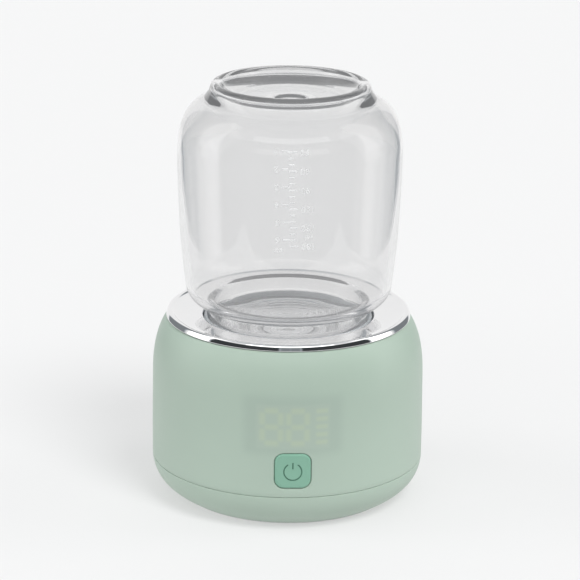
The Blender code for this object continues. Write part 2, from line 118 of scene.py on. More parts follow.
class Graph:
    """Short calls for building one material's or world's nodes."""

    def __init__(self, tree):
        self.tree = tree

    def add(self, kind, **settings):
        node = self.tree.nodes.new(kind)
        for key, value in settings.items():
            setattr(node, key, value)
        return node

    def feed(self, socket, value):
        if isinstance(value, bpy.types.NodeSocket):
            self.tree.links.new(value, socket)
        else:
            socket.default_value = value

    def math(self, operation, *values):
        node = self.add("ShaderNodeMath", operation=operation)
        for socket, value in zip(node.inputs, values):
            self.feed(socket, value)
        return node.outputs[0]

    def ramp(self, value, low, high, out_low=0.0, out_high=1.0):
        node = self.add("ShaderNodeMapRange", interpolation_type="SMOOTHSTEP")
        for socket, item in zip(node.inputs, (value, low, high, out_low, out_high)):
            self.feed(socket, item)
        return node.outputs[0]

    def mix(self, share, first, second):
        node = self.add("ShaderNodeMix", data_type="RGBA")
        self.feed(node.inputs["Factor"], share)
        for name, value in (("A", first), ("B", second)):
            socket = next(s for s in node.inputs if s.name == name and s.type == "RGBA")
            if isinstance(value, bpy.types.NodeSocket):
                self.feed(socket, value)
            else:
                socket.default_value = (*value, 1.0)
        return next(s for s in node.outputs if s.type == "RGBA")

    def place(self):
        """X, Y and Z of the object's own coordinates."""
        split = self.add("ShaderNodeSeparateXYZ")
        self.feed(split.inputs[0], self.add("ShaderNodeTexCoord").outputs["Object"])
        return split.outputs

    def noise(self, scale, detail=2.0, stretch=None):
        coordinates = self.add("ShaderNodeTexCoord").outputs["Object"]
        if stretch:
            mapping = self.add("ShaderNodeMapping")
            mapping.inputs["Scale"].default_value = stretch
            self.feed(mapping.inputs["Vector"], coordinates)
            coordinates = mapping.outputs["Vector"]
        node = self.add("ShaderNodeTexNoise")
        self.feed(node.inputs["Vector"], coordinates)
        node.inputs["Scale"].default_value = scale
        node.inputs["Detail"].default_value = detail
        return node.outputs["Fac"]

    def bump(self, height, strength, distance):
        node = self.add("ShaderNodeBump")
        node.inputs["Strength"].default_value = strength
        node.inputs["Distance"].default_value = distance
        self.feed(node.inputs["Height"], height)
        return node.outputs["Normal"]


def new_material(name, **values):
    """A Principled material; returns it with its graph and shader node."""
    material = bpy.data.materials.new(name)
    material.use_nodes = True
    shader = material.node_tree.nodes["Principled BSDF"]
    for key, value in values.items():
        socket = shader.inputs[key.replace("_", " ")]
        socket.default_value = (*value, 1.0) if isinstance(value, tuple) else value
    return material, Graph(material.node_tree), shader


# ---------------------------------------------------------------- materials

FINE_GRAIN = 2600.0
MINT_LOW = (0.385, 0.482, 0.407)
MINT_HIGH = (0.415, 0.515, 0.438)
DISPLAY_FRAME = (0.325, 0.405, 0.352)
DISPLAY_WINDOW = (0.40, 0.485, 0.415)
DISPLAY_LIT = (0.455, 0.54, 0.385)


def soft_box(graph, x, z, centre_x, centre_z, width, height, soft):
    """1 inside a box on the front of the housing, falling to 0 across its soft edge."""
    across = graph.math("ABSOLUTE", graph.math("SUBTRACT", x, centre_x * MM))
    up = graph.math("ABSOLUTE", graph.math("SUBTRACT", z, centre_z * MM))
    inside_x = graph.ramp(across, (width / 2 + soft) * MM, (width / 2 - soft) * MM)
    inside_z = graph.ramp(up, (height / 2 + soft) * MM, (height / 2 - soft) * MM)
    return graph.math("MULTIPLY", inside_x, inside_z)


# side and level of each stroke of a seven-segment digit, and whether it lies flat
SEGMENTS = (
    (0, 1, True),
    (0, 0, True),
    (0, -1, True),
    (-1, 0.5, False),
    (1, 0.5, False),
    (-1, -0.5, False),
    (1, -0.5, False),
)
DIGIT_CENTRES = (-7.4, 1.6)
DIGIT_WIDTH = 6.2
DIGIT_HEIGHT = 11.6
STROKE = 1.9
LEVEL_BARS = 5
LEVEL_BAR_X = 9.8
LEVEL_BAR_LOWEST = -5.6
LEVEL_BAR_PITCH = 2.8


def lit_marks(graph, x, z, middle_z):
    """The strokes of two digits and a column of level bars."""
    boxes = []
    for centre_x in DIGIT_CENTRES:
        for side, level, flat in SEGMENTS:
            width, height = (DIGIT_WIDTH - 1.6, STROKE) if flat else (STROKE, DIGIT_HEIGHT / 2 - 1.4)
            boxes.append(soft_box(graph, x, z, centre_x + side * DIGIT_WIDTH / 2,
                                  middle_z + level * DIGIT_HEIGHT / 2, width, height, 0.8))
    for step in range(LEVEL_BARS):
        up = middle_z + LEVEL_BAR_LOWEST + step * LEVEL_BAR_PITCH
        boxes.append(soft_box(graph, x, z, LEVEL_BAR_X, up, 4.0, 1.5, 0.6))
    lit = boxes[0]
    for box in boxes[1:]:
        lit = graph.math("MAXIMUM", lit, box)
    return lit


def show_display(graph, colour):
    """Lets the display behind the shell show faintly on the front of the housing."""
    x, y, z = graph.place()
    front = graph.ramp(y, -20 * MM, -30 * MM)
    low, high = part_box("display_module")
    middle_z = middle_height("display_module")
    width = (high.x - low.x) / MM
    tall = (high.z - low.z) / MM
    layers = (
        (soft_box(graph, x, z, 0, middle_z + 0.4, width + 8, tall + 4.5, 2.2), 0.42, DISPLAY_FRAME),
        (soft_box(graph, x, z, 0, middle_z, width - 0.4, tall - 0.2, 0.7), 0.55, DISPLAY_WINDOW),
        (lit_marks(graph, x, z, middle_z), 0.5, DISPLAY_LIT),
    )
    for mask, strength, tint in layers:
        share = graph.math("MULTIPLY", graph.math("MULTIPLY", mask, front), strength)
        colour = graph.mix(share, colour, tint)
    return colour


def mint_plastic(name, with_display):
    material, graph, shader = new_material(name, Roughness=0.42)
    cloud = graph.noise(38.0, 3.0)
    colour = graph.mix(cloud, MINT_LOW, MINT_HIGH)
    if with_display:
        colour = show_display(graph, colour)
    graph.feed(shader.inputs["Base Color"], colour)
    grain = graph.noise(FINE_GRAIN, 2.0)
    graph.feed(shader.inputs["Roughness"], graph.ramp(grain, 0.2, 0.8, 0.36, 0.5))
    graph.feed(shader.inputs["Normal"], graph.bump(grain, 0.06, 0.00006))
    return material


def button_plastic():
    material, graph, shader = new_material("button_plastic", Roughness=0.33)
    cloud = graph.noise(120.0, 2.0)
    graph.feed(shader.inputs["Base Color"], graph.mix(cloud, (0.205, 0.405, 0.30), (0.225, 0.43, 0.325)))
    grain = graph.noise(FINE_GRAIN, 2.0)
    graph.feed(shader.inputs["Normal"], graph.bump(grain, 0.05, 0.00005))
    return material


def plain_plastic(name, low, high, roughness, grain_scale=1800.0, bump=0.08):
    material, graph, shader = new_material(name)
    cloud = graph.noise(60.0, 3.0)
    graph.feed(shader.inputs["Base Color"], graph.mix(cloud, low, high))
    grain = graph.noise(grain_scale, 2.0)
    graph.feed(shader.inputs["Roughness"], graph.ramp(grain, 0.2, 0.8, roughness - 0.06, roughness + 0.06))
    graph.feed(shader.inputs["Normal"], graph.bump(grain, bump, 0.00008))
    return material


def chrome():
    material, graph, shader = new_material("polished_chrome", Metallic=1.0)
    cloud = graph.noise(90.0, 3.0)
    graph.feed(shader.inputs["Base Color"], graph.mix(cloud, (0.83, 0.83, 0.84), (0.87, 0.87, 0.87)))
    graph.feed(shader.inputs["Roughness"], graph.ramp(cloud, 0.3, 0.7, 0.03, 0.06))
    return material


def spun_steel():
    """Steel with fine rings round Z left by the lathe."""
    material, graph, shader = new_material("spun_steel", Metallic=1.0)
    x, y = graph.place()[:2]
    squares = graph.math("ADD", graph.math("MULTIPLY", x, x), graph.math("MULTIPLY", y, y))
    radius = graph.math("SQRT", squares)
    rings = graph.add("ShaderNodeTexNoise", noise_dimensions="1D")
    graph.feed(rings.inputs["W"], radius)
    rings.inputs["Scale"].default_value = 2400.0
    rings.inputs["Detail"].default_value = 3.0
    tone = graph.ramp(rings.outputs["Fac"], 0.3, 0.7)
    graph.feed(shader.inputs["Base Color"], graph.mix(tone, (0.72, 0.73, 0.74), (0.86, 0.86, 0.87)))
    graph.feed(shader.inputs["Roughness"], graph.ramp(rings.outputs["Fac"], 0.3, 0.7, 0.16, 0.30))
    graph.feed(shader.inputs["Normal"], graph.bump(rings.outputs["Fac"], 0.25, 0.00005))
    return material


GLASS_ABSORPTION = 22.0
GLASS_GLOW = 0.045


def clear_glass():
    """Glass that greys with thickness; a trace of glow lifts the dark bands in its thickest places."""
    material, graph, shader = new_material("clear_glass", Transmission_Weight=1.0, IOR=1.42, Roughness=0.0,
                                           Emission_Color=(0.97, 0.98, 1.0), Emission_Strength=GLASS_GLOW)
    cloud = graph.noise(30.0, 2.0)
    graph.feed(shader.inputs["Base Color"], graph.mix(cloud, (0.845, 0.843, 0.842), (0.86, 0.858, 0.857)))
    absorb = graph.add("ShaderNodeVolumeAbsorption")
    absorb.inputs["Color"].default_value = (0.0, 0.0, 0.0, 1.0)
    absorb.inputs["Density"].default_value = GLASS_ABSORPTION
    output = next(node for node in graph.tree.nodes if node.type == "OUTPUT_MATERIAL")
    graph.tree.links.new(absorb.outputs[0], output.inputs["Volume"])
    wave = graph.noise(26.0, 1.0, stretch=(1.0, 1.0, 0.35))
    graph.feed(shader.inputs["Normal"], graph.bump(wave, 0.06, 0.0004))
    return material


def frosted_glass():
    material, graph, shader = new_material("frosted_marks", IOR=1.47)
    cloud = graph.noise(900.0, 2.0)
    graph.feed(shader.inputs["Base Color"], graph.mix(cloud, (0.90, 0.91, 0.91), (0.97, 0.97, 0.97)))
    graph.feed(shader.inputs["Roughness"], graph.ramp(cloud, 0.3, 0.7, 0.35, 0.55))
    return material


def silicone():
    material, graph, shader = new_material("milky_silicone", Roughness=0.4, Transmission_Weight=0.1, IOR=1.41)
    cloud = graph.noise(60.0, 3.0)
    graph.feed(shader.inputs["Base Color"], graph.mix(cloud, (0.80, 0.84, 0.87), (0.87, 0.90, 0.92)))
    grain = graph.noise(1500.0, 2.0)
    graph.feed(shader.inputs["Normal"], graph.bump(grain, 0.05, 0.00006))
    return material


def brushed(name, low, high, roughness):
    material, graph, shader = new_material(name, Metallic=1.0)
    streak = graph.noise(900.0, 3.0, stretch=(0.08, 1.0, 1.0))
    graph.feed(shader.inputs["Base Color"], graph.mix(streak, low, high))
    graph.feed(shader.inputs["Roughness"], graph.ramp(streak, 0.3, 0.7, roughness - 0.08, roughness + 0.08))
    graph.feed(shader.inputs["Normal"], graph.bump(streak, 0.1, 0.00003))
    return material


def circuit_board():
    """Green solder mask with lighter copper tracks under it."""
    material, graph, shader = new_material("circuit_board", Roughness=0.35)
    coordinates = graph.add("ShaderNodeTexCoord").outputs["Object"]
    bricks = graph.add("ShaderNodeTexBrick", offset=0.35, offset_frequency=3)
    graph.feed(bricks.inputs["Vector"], coordinates)
    bricks.inputs["Scale"].default_value = 420.0
    bricks.inputs["Mortar Size"].default_value = 0.03
    tracks = graph.ramp(bricks.outputs["Fac"], 0.2, 0.8)
    graph.feed(shader.inputs["Base Color"], graph.mix(tracks, (0.012, 0.13, 0.05), (0.05, 0.26, 0.10)))
    graph.feed(shader.inputs["Normal"], graph.bump(tracks, 0.3, 0.00005))
    return material


def woven(name, low, high):
    material, graph, shader = new_material(name, Roughness=0.85)
    wave = graph.add("ShaderNodeTexWave", bands_direction="DIAGONAL")
    graph.feed(wave.inputs["Vector"], graph.add("ShaderNodeTexCoord").outputs["Object"])
    wave.inputs["Scale"].default_value = 700.0
    wave.inputs["Distortion"].default_value = 1.5
    graph.feed(shader.inputs["Base Color"], graph.mix(wave.outputs["Fac"], low, high))
    graph.feed(shader.inputs["Normal"], graph.bump(wave.outputs["Fac"], 0.3, 0.0001))
    return material


MINT = mint_plastic("mint_housing", True)
MINT_BASE = mint_plastic("mint_base", False)
BUTTON_GREEN = button_plastic()
SYMBOL_GREEN = plain_plastic("symbol_green", (0.075, 0.19, 0.135), (0.09, 0.21, 0.15), 0.5)
CHROME = chrome()
STEEL = spun_steel()
GLASS_CLEAR = clear_glass()
MARKS = frosted_glass()
SILICONE = silicone()
RUBBER = plain_plastic("white_rubber", (0.78, 0.80, 0.78), (0.84, 0.86, 0.84), 0.68, bump=0.15)
WELL = plain_plastic("well_plastic", (0.62, 0.64, 0.66), (0.70, 0.72, 0.73), 0.45)
BLACK_FRAME = plain_plastic("frame_plastic", (0.025, 0.025, 0.028), (0.045, 0.045, 0.048), 0.5)
CERAMIC = plain_plastic("heater_ceramic", (0.70, 0.67, 0.60), (0.80, 0.77, 0.71), 0.6,
                        grain_scale=900.0, bump=0.2)
CHIP = plain_plastic("chip_epoxy", (0.012, 0.012, 0.013), (0.028, 0.028, 0.03), 0.45, bump=0.2)
DIFFUSER = plain_plastic("diffuser", (0.74, 0.77, 0.72), (0.82, 0.84, 0.80), 0.5)
CELL_WRAP = plain_plastic("cell_wrap", (0.03, 0.16, 0.40), (0.05, 0.21, 0.48), 0.3, bump=0.05)
RED = plain_plastic("red_sleeve", (0.42, 0.015, 0.012), (0.55, 0.03, 0.02), 0.45)
BLACK = plain_plastic("black_sleeve", (0.012, 0.012, 0.012), (0.03, 0.03, 0.03), 0.45)
NICKEL = brushed("nickel_plate", (0.58, 0.55, 0.50), (0.72, 0.69, 0.64), 0.28)
BOARD = circuit_board()
INSULATION = woven("glass_fibre", (0.42, 0.36, 0.25), (0.62, 0.55, 0.42))

NODE_FINISH = {
    INSULATION: ("insulation_pad", "heater_lead_left", "heater_lead_right"),
    CERAMIC: ("heater_disc", "thermal_fuse"),
    NICKEL: ("heater_clamp", "nickel_strip_left", "nickel_strip_right", "capacitor_1", "capacitor_2",
             "usb_receptacle", "cover_screw_1", "cover_screw_2", "cover_screw_3", "cover_screw_4",
             "well_screw_1", "well_screw_2", "well_screw_3"),
    CHIP: ("temperature_sensor", "controller_chip", "power_inductor", "buzzer", "display_module",
           "switch_body", "usb_tongue"),
    BLACK_FRAME: ("battery_tray", "battery_bridge", "port_bracket"),
    CELL_WRAP: ("battery_cell_1", "battery_cell_2"),
    BOARD: ("main_board", "display_board", "charge_board"),
    DIFFUSER: ("lead_connector", "display_diffuser", "display_ribbon", "switch_plunger"),
    RED: ("battery_lead_red",),
    BLACK: ("battery_lead_black",),
}
for finish, nodes in NODE_FINISH.items():
    for node in nodes:
        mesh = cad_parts[node].data
        mesh.materials.clear()
        mesh.materials.append(finish)


# ---------------------------------------------------------------- shape helpers

def bezier(start, pull_a, pull_b, end, count):
    points = []
    for i in range(count + 1):
        t = i / count
        s = 1 - t
        weights = (s ** 3, 3 * s * s * t, 3 * s * t * t, t ** 3)
        corners = (start, pull_a, pull_b, end)
        points.append(tuple(sum(w * c[k] for w, c in zip(weights, corners)) for k in (0, 1)))
    return points


def arc(centre, radius, start, end, count):
    points = []
    for i in range(count + 1):
        angle = math.radians(start + (end - start) * i / count)
        points.append((centre[0] + radius * math.cos(angle), centre[1] + radius * math.sin(angle)))
    return points


def rounded(corners, closed=True, steps=5):
    """Round each corner (r, z, radius) of an outline; corners without a radius stay as they are."""
    count = len(corners)
    points = []
    for i, corner in enumerate(corners):
        radius = corner[2] if len(corner) > 2 else 0.0
        here = Vector(corner[:2])
        at_end = not closed and i in (0, count - 1)
        if not radius or at_end:
            points.append(tuple(here))
            continue
        before = Vector(corners[i - 1][:2]) - here
        after = Vector(corners[(i + 1) % count][:2]) - here
        half = before.angle(after) / 2
        reach = min(radius / math.tan(half), 0.49 * before.length, 0.49 * after.length)
        start = here + before.normalized() * reach
        end = here + after.normalized() * reach
        for step in range(steps + 1):
            t = step / steps
            bend = start * (1 - t) ** 2 + here * 2 * t * (1 - t) + end * t ** 2
            points.append(tuple(bend))
    return points


def finish_mesh(name, shape, material, body, sharp=35.0):
    """Make an object, smooth but for edges sharper than an angle; it rides on a body if one is given."""
    bmesh.ops.recalc_face_normals(shape, faces=shape.faces)
    mesh = bpy.data.meshes.new(name)
    shape.to_mesh(mesh)
    shape.free()
    mesh.materials.append(material)
    mesh.shade_smooth()
    if sharp:
        mesh.set_sharp_from_angle(angle=math.radians(sharp))
    obj = bpy.data.objects.new(name, mesh)
    bpy.context.scene.collection.objects.link(obj)
    if body:
        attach(obj, body)
    return obj


ON_AXIS = 1e-6


def lathe(name, outline, material, body, segments=192, sharp=35.0):
    """Turn a closed (r, z) outline round Z; where it meets the axis it closes in a point."""
    shape = bmesh.new()
    rings = []
    for r, z in outline:
        if r < ON_AXIS:
            rings.append([shape.verts.new((0, 0, z * MM))])
            continue
        ring = []
        for i in range(segments):
            turn = 2 * math.pi * i / segments
            ring.append(shape.verts.new((r * math.cos(turn) * MM, r * math.sin(turn) * MM, z * MM)))
        rings.append(ring)
    pairs = list(zip(rings, rings[1:]))
    if outline[0][0] > ON_AXIS:
        pairs.append((rings[-1], rings[0]))
    for first, second in pairs:
        for i in range(segments):
            j = (i + 1) % segments
            corners = [first[i % len(first)], first[j % len(first)],
                       second[j % len(second)], second[i % len(second)]]
            distinct = list(dict.fromkeys(corners))
            if len(distinct) > 2:
                shape.faces.new(distinct)
    return finish_mesh(name, shape, material, body, sharp)


def round_box_outline(width, height, corner, steps=8):
    """Points round a rounded rectangle, counter-clockwise from the right, centred on the origin."""
    points = []
    for quarter in range(4):
        side_x = (1, -1, -1, 1)[quarter]
        side_z = (1, 1, -1, -1)[quarter]
        for step in range(steps + 1):
            angle = math.radians(90 * (quarter + step / steps))
            points.append((side_x * (width / 2 - corner) + corner * math.cos(angle),
                           side_z * (height / 2 - corner) + corner * math.sin(angle)))
    return points


def barrel_loft(name, levels, centre_z, material, front=-90.0, sharp=35.0):
    """A plug whose sections lie on cylinders round Z: levels are (radius, width, height, corner)."""
    shape = bmesh.new()
    rings = []
    for radius, width, height, corner in levels:
        ring = []
        for across, up in round_box_outline(width, height, corner):
            turn = math.radians(front) + across / radius
            ring.append(shape.verts.new((radius * math.cos(turn) * MM, radius * math.sin(turn) * MM,
                                         (centre_z + up) * MM)))
        rings.append(ring)
    for first, second in zip(rings, rings[1:]):
        for i in range(len(first)):
            j = (i + 1) % len(first)
            shape.faces.new((first[i], first[j], second[j], second[i]))
    for ring, level in ((rings[0], levels[0]), (rings[-1], levels[-1])):
        turn = math.radians(front)
        middle = shape.verts.new((level[0] * math.cos(turn) * MM, level[0] * math.sin(turn) * MM,
                                  centre_z * MM))
        for i in range(len(ring)):
            shape.faces.new((ring[i], ring[(i + 1) % len(ring)], middle))
    return finish_mesh(name, shape, material, None, sharp)


def boolean(target, tool, operation="DIFFERENCE", keep_material=False):
    """Cut or join, then apply, so that the piece keeps one plain mesh."""
    modifier = target.modifiers.new("cut", "BOOLEAN")
    modifier.operation = operation
    modifier.solver = "EXACT"
    modifier.object = tool
    modifier.material_mode = "TRANSFER" if keep_material else "INDEX"
    graph = bpy.context.evaluated_depsgraph_get()
    mesh = bpy.data.meshes.new_from_object(target.evaluated_get(graph))
    target.modifiers.clear()
    target.data = mesh
    bpy.data.objects.remove(tool)


def shade(piece, sharp):
    """Smooth shading again after a cut, but for edges sharper than an angle."""
    piece.data.shade_smooth()
    piece.data.set_sharp_from_angle(angle=math.radians(sharp))


# ---------------------------------------------------------------- casing

def make_housing():
    """Barrel shell with softened openings for the button and the charging inlet."""
    waist = BODY_R - 0.2
    shoulder = bezier((HOUSING_TOP_R, HOUSING_TOP), (BODY_R - 1.5, 59.0), (waist, 52.0), (waist, WAIST_Z), 20)
    top_edge = [(41.9, HOUSING_TOP), (HOUSING_TOP_R, HOUSING_TOP, 0.4), shoulder[1]]
    outline = [(HOUSING_BORE, HOUSING_TOP)]
    outline += rounded(top_edge, closed=False)[1:-1]
    outline += shoulder[1:]
    levels = 22
    for step in range(1, levels):
        share = step / levels
        bulge = min(1.0, share * 1.6)
        drop = (HOUSING_BOTTOM + 0.5 - WAIST_Z) * share
        outline.append((waist + (BODY_R - waist) * bulge, WAIST_Z + drop))
    outline += [(BODY_R, HOUSING_BOTTOM + 0.22), (BODY_R - 0.06, HOUSING_BOTTOM + 0.07)]
    outline += [(BODY_R - 0.2, HOUSING_BOTTOM), (BODY_R - WALL, HOUSING_BOTTOM)]
    outline += [(BODY_R - WALL, WAIST_Z)]
    outline += [(r - WALL * 0.95, z - WALL * 0.4) for r, z in reversed(shoulder[4:-1:3])]
    outline += [(40.6, HOUSING_TOP - WALL), (HOUSING_BORE, HOUSING_TOP - WALL)]
    shell = lathe("housing", outline, MINT, None, segments=256)
    gap = 0.16
    width, tall, corner = BUTTON_WIDTH + 2 * gap, BUTTON_TALL + 2 * gap, BUTTON_CORNER + gap
    lip = []
    for out, grow in ((-8.0, 0.0), (-0.3, 0.0), (-0.12, 0.04), (-0.04, 0.1), (0.0, 0.18), (1.5, 2.0)):
        lip.append((BODY_R + out, width + 2 * grow, tall + 2 * grow, corner + grow))
    boolean(shell, barrel_loft("button_hole", lip, middle_height("power_button"), MINT))
    slot = []
    for out, grow in ((-8.0, 0.0), (-0.7, 0.0), (-0.3, 0.12), (0.0, 0.45), (1.5, 2.0)):
        slot.append((BODY_R + out, INLET_WIDTH + 2 * grow, INLET_TALL + 2 * grow, INLET_CORNER + grow))
    boolean(shell, barrel_loft("inlet_slot", slot, middle_height("usb_receptacle"), MINT, front=90.0))
    shade(shell, 40)
    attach(shell, "warmer_base")
    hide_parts("housing_shell")


def make_base_cover():
    """Base tray with a groove for the foot ring in its underside."""
    groove_top = FOOT_TOP + 0.3
    floor_z = 3.2
    outer = bezier((BODY_R, COVER_TOP), (BODY_R - 0.4, 6.5), (43.5, 3.6), (FOOT_R + 0.8, COVER_BOTTOM), 26)
    outline = [(0, floor_z), (30.0, floor_z)]
    inner = BODY_R - WALL
    outline += bezier((34.5, floor_z), (41.0, 5.2), (inner - 0.2, 8.0), (inner, COVER_TOP), 8)
    outline += rounded([(46.0, COVER_TOP), (BODY_R, COVER_TOP, 0.2), outer[1]], closed=False)[1:-1]
    outline += outer[1:]
    outline += [(FOOT_R + 0.4, COVER_BOTTOM), (FOOT_R + 0.3, groove_top), (FOOT_INNER - 0.3, groove_top)]
    outline += [(FOOT_INNER - 0.3, COVER_BOTTOM + 0.15), (FOOT_INNER - 0.45, COVER_BOTTOM)]
    outline += [(22.0, COVER_BOTTOM), (21.6, COVER_BOTTOM + 0.3), (0, COVER_BOTTOM + 0.3)]
    cover = lathe("base_cover_visual", outline, MINT_BASE, "warmer_base", segments=256)
    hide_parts("base_cover")


def make_foot():
    edge, groove = 0.5, 0.2
    outline = rounded([
        (FOOT_R, FOOT_TOP), (FOOT_R, 0.0, edge), (FOOT_R - 1.6, 0.0), (FOOT_R - 1.7, groove),
        (FOOT_R - 2.1, groove), (FOOT_R - 2.2, 0.0), (FOOT_INNER + 2.2, 0.0), (FOOT_INNER + 2.1, groove),
        (FOOT_INNER + 1.7, groove), (FOOT_INNER + 1.6, 0.0), (FOOT_INNER, 0.0, edge),
        (FOOT_INNER, FOOT_TOP)])
    foot = lathe("foot_ring_visual", outline, RUBBER, "warmer_base", segments=192)
    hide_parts("foot_ring")


def make_top_plate():
    """Chrome sheet from the well's rolled lip, over a shallow dish, to the polished rim."""
    sheet = 0.9
    under = HOUSING_TOP + 0.3
    lip_round = 1.1
    outline = [(LIP_R, PLATE_COLLAR_BOTTOM)]
    outline += arc((LIP_R + lip_round, LIP_TOP - lip_round), lip_round, 180, 75, 10)
    outline += bezier((32.2, LIP_TOP - 0.12), (35.0, LIP_TOP - 0.2), (38.0, LIP_TOP + 0.3),
                      (40.0, RIM_TOP - 0.85), 12)
    outline += bezier((40.6, RIM_TOP - 0.5), (41.2, RIM_TOP - 0.02), (41.7, RIM_TOP),
                      (42.1, RIM_TOP - 0.2), 8)
    outline += bezier((42.35, RIM_TOP - 0.34), (42.6, RIM_TOP - 0.7), (42.8, RIM_TOP - 1.15),
                      (RIM_R, under + 0.12), 12)[1:]
    outline += [(RIM_R - 0.05, under + 0.02), (RIM_R - 0.25, under), (RIM_R - sheet, under)]
    outline += [(RIM_R - sheet - 0.2, RIM_TOP - sheet - 0.6), (38.4, LIP_TOP - 0.6)]
    outline += [(33.5, LIP_TOP - sheet - 0.1), (LIP_R + 1.6, LIP_TOP - sheet - 0.3)]
    outline += [(LIP_R + sheet, LIP_TOP - 2.0), (LIP_R + sheet, PLATE_COLLAR_BOTTOM)]
    plate = lathe("chrome_plate", outline, CHROME, "warmer_base", segments=256, sharp=50.0)
    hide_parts("top_plate")


BUTTON_PROUD = 0.3
BUTTON_BACK_R = 43.9
BUTTON_EDGE = 0.75
FLANGE_BACK_R = 43.0
FLANGE_CORNER = 3.5
SYMBOL_R = 3.05
SYMBOL_LINE = 0.24
SYMBOL_GAP = 33


def symbol_paths():
    """Power symbol: an open ring with a bar in its gap, as (across, up) points."""
    ring = []
    for step in range(41):
        angle = math.radians(90 + SYMBOL_GAP + (360 - 2 * SYMBOL_GAP) * step / 40)
        ring.append((SYMBOL_R * math.cos(angle), SYMBOL_R * math.sin(angle) - 0.15))
    bar = [(0.0, 3.1), (0.0, 2.1), (0.0, 0.9)]
    return ("symbol_ring", ring), ("symbol_bar", bar)


def wire_on_barrel(name, path, radius, centre_z):
    """A round wire bent along a path on a cylinder round Z."""
    data = bpy.data.curves.new(name, "CURVE")
    data.dimensions = "3D"
    data.bevel_depth = SYMBOL_LINE * MM
    data.bevel_resolution = 3
    data.use_fill_caps = True
    spline = data.splines.new("POLY")
    spline.points.add(len(path) - 1)
    for point, (across, up) in zip(spline.points, path):
        turn = math.radians(-90) + across / radius
        point.co = (radius * math.cos(turn) * MM, radius * math.sin(turn) * MM, (centre_z + up) * MM, 1.0)
    curve = bpy.data.objects.new(name, data)
    bpy.context.scene.collection.objects.link(curve)
    graph = bpy.context.evaluated_depsgraph_get()
    mesh = bpy.data.meshes.new_from_object(curve.evaluated_get(graph))
    shape = bmesh.new()
    shape.from_mesh(mesh)
    bmesh.ops.remove_doubles(shape, verts=shape.verts, dist=1e-6)
    bmesh.ops.recalc_face_normals(shape, faces=shape.faces)
    shape.to_mesh(mesh)
    shape.free()
    mesh.materials.clear()
    mesh.materials.append(SYMBOL_GREEN)
    bpy.data.objects.remove(curve)
    wire = bpy.data.objects.new(name, mesh)
    bpy.context.scene.collection.objects.link(wire)
    return wire


def make_button():
    """Rounded cap with an engraved power symbol and a flange that holds it behind the shell."""
    low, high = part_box("power_button")
    centre_z = middle_height("power_button")
    face = BODY_R + BUTTON_PROUD
    width, tall, corner = BUTTON_WIDTH, BUTTON_TALL, BUTTON_CORNER
    edge = BUTTON_EDGE
    levels = [(radius, width, tall, corner) for radius in (BUTTON_BACK_R, 46.4, face - edge)]
    for step in range(1, 7):
        angle = math.radians(90 * step / 6)
        inset = edge * (1 - math.cos(angle))
        levels.append((face - edge + edge * math.sin(angle), width - 2 * inset, tall - 2 * inset,
                       corner - 0.6 * inset))
    flat_w, flat_t, flat_c = levels[-1][1:]
    for share in (0.93, 0.8, 0.62, 0.4, 0.2):
        levels.append((face, flat_w * share, flat_t * share, flat_c * share))
    button = barrel_loft("button_cap", levels, centre_z, BUTTON_GREEN, sharp=40.0)
    for name, path in symbol_paths():
        boolean(button, wire_on_barrel(name, path, face, centre_z), keep_material=True)
    rim = ((high.x - low.x) / MM, (high.z - low.z) / MM, FLANGE_CORNER)
    flange = barrel_loft("button_flange", [(FLANGE_BACK_R, *rim), (BUTTON_BACK_R, *rim)], centre_z,
                         BUTTON_GREEN)
    boolean(button, flange, "UNION")
    shade(button, 40)
    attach(button, "button")
    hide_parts("power_button")


# ---------------------------------------------------------------- neck well

def make_well():
    """Plastic well for the neck, with the gasket under the bottle's mouth and the seal of the hot plate."""
    outer, inner = 32.8, 21.4
    flange_r, flange_top, flange_under = 40.6, 61.7, 60.2
    bottom, trough = 50.0, 51.5
    outline = rounded([
        (flange_r, flange_top, 0.3), (flange_r, flange_under, 0.3), (outer, flange_under, 0.5),
        (outer, bottom, 0.8), (inner, bottom, 0.5), (inner, 61.0, 0.3), (23.0, 61.0, 0.4),
        (23.0, 55.2, 0.3), (24.8, 55.2, 0.3), (24.8, trough, 0.3), (31.3, trough, 0.4),
        (31.3, flange_top, 0.3)])
    well = lathe("neck_well_visual", outline, WELL, "warmer_base")
    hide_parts("neck_well")
    gasket = rounded([(31.0, 54.0, 0.5), (31.0, 51.8, 0.3), (25.2, 51.8, 0.3), (25.2, 54.0, 0.5),
                      (26.6, 54.0, 0.3), (27.0, 53.5, 0.3), (29.2, 53.5, 0.3), (29.6, 54.0, 0.3)])
    ring = lathe("neck_gasket_visual", gasket, SILICONE, "warmer_base")
    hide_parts("neck_gasket")
    seal = rounded([(24.7, 56.7, 0.4), (24.7, 55.5, 0.4), (23.3, 55.5, 0.4), (23.3, 56.7, 0.4)])
    ring = lathe("plate_seal_visual", seal, SILICONE, "warmer_base")
    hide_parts("plate_seal")


def make_adapter():
    """Silicone sleeve round the bottle's neck, ribbed inside."""
    bottom = bottom_of("adapter_ring")
    top = LIP_TOP - 0.6
    inner = THREAD_R + 0.5
    outer = 29.6
    outline = [(outer, top - 0.5), (outer, bottom + 0.2), (outer - 0.2, bottom)]
    outline += [(inner + 0.2, bottom), (inner, bottom + 0.2)]
    ribs, pitch = 6, 1.25
    for rib in range(ribs):
        middle = bottom + 1.2 + rib * pitch
        outline += [(inner, middle - 0.35), (inner - 0.18, middle), (inner, middle + 0.35)]
    outline += [(inner, top - 0.5), (inner + 0.25, top), (outer - 0.3, top)]
    sleeve = lathe("adapter_sleeve", outline, SILICONE, "adapter")
    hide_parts("adapter_ring")


